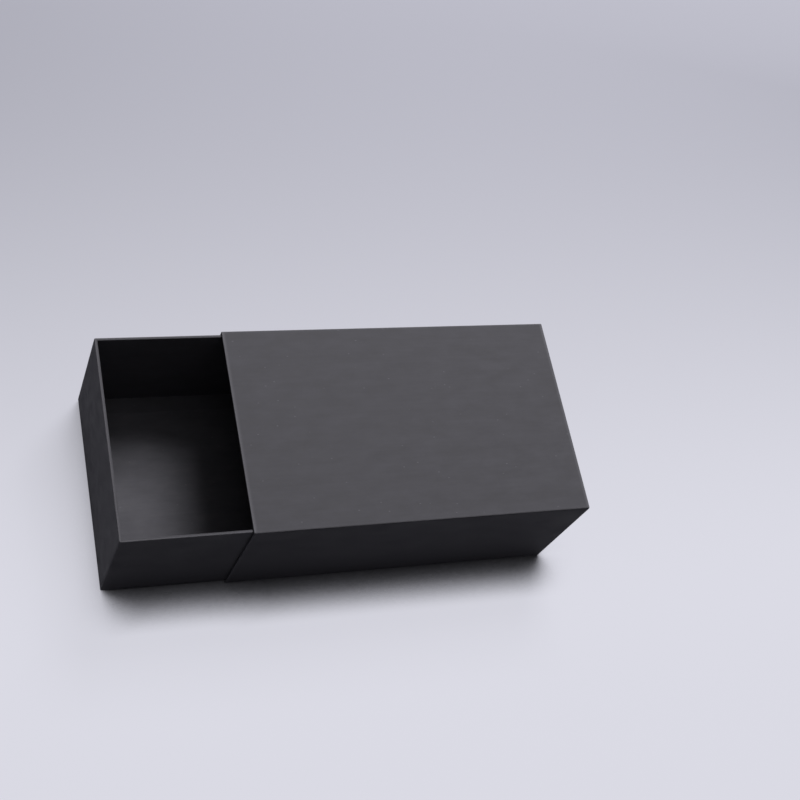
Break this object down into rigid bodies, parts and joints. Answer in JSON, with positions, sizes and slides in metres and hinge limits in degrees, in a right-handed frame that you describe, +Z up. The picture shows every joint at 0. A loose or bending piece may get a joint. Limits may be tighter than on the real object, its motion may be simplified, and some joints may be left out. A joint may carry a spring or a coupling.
{
  "type": "sliding drawer gift box",
  "caption": "Rigid oblong gift box covered in matte black paper: a sleeve open at both short ends with a drawer that slides through it, standing partly open.",
  "frame": {"origin": "centre of the sleeve's underside", "axes": "+X along the slide, from the drawer's front end towards its back; the drawer opens towards -X; +Y towards the sleeve's left side; +Z up"},
  "size_m": [0.3115, 0.14, 0.09],
  "materials": {
    "black_covering_paper": "matte",
    "black_lining_paper": "matte",
    "greyboard": "matte",
    "stay_tape": "matte"
  },
  "bodies": {
    "sleeve": {"sleeve_top_board": "greyboard", "sleeve_bottom_board": "greyboard", "sleeve_left_board": "greyboard", "sleeve_right_board": "greyboard", "sleeve_wrap": "black_covering_paper", "sleeve_lining": "black_lining_paper"},
    "drawer": {"drawer_base_board": "greyboard", "drawer_front_board": "greyboard", "drawer_back_board": "greyboard", "drawer_left_board": "greyboard", "drawer_right_board": "greyboard", "stay_front_left": "stay_tape", "stay_front_right": "stay_tape", "stay_back_left": "stay_tape", "stay_back_right": "stay_tape", "drawer_wrap": "black_covering_paper", "drawer_lining": "black_lining_paper"}
  },
  "joints": [
    {"name": "drawer_slide", "type": "slide", "parent": "sleeve", "child": "drawer", "axis": [-1, 0, 0], "range_m": [-0.3015, 0.1361]}
  ]
}
